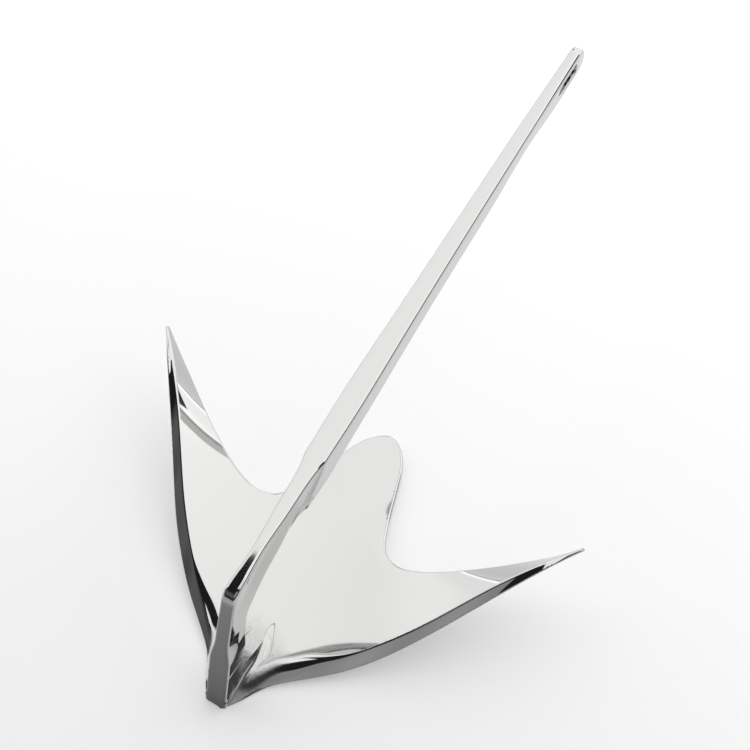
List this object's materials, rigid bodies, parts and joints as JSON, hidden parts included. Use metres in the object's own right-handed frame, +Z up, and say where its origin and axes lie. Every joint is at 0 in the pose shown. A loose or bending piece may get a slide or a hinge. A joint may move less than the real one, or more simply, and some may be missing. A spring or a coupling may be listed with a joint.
{
  "type": "claw anchor",
  "caption": "Claw-type boat anchor cast in one piece: a dished three-lobed claw, a bent arm and a shackle slot, in mirror-polished stainless steel.",
  "frame": {"origin": "on the ground under the middle of the anchor's length, in its plane of symmetry, with the anchor lying as it rests", "axes": "+X along the ground from the heel to the shackle end, +Z up, y = 0 is the plane of symmetry and the shackle slot runs along Y"},
  "size_m": [0.5791, 0.4004, 0.2217],
  "materials": {
    "stainless": "mirror-polished stainless steel"
  },
  "bodies": {
    "root": {"claw_anchor": "stainless"}
  },
  "joints": []
}
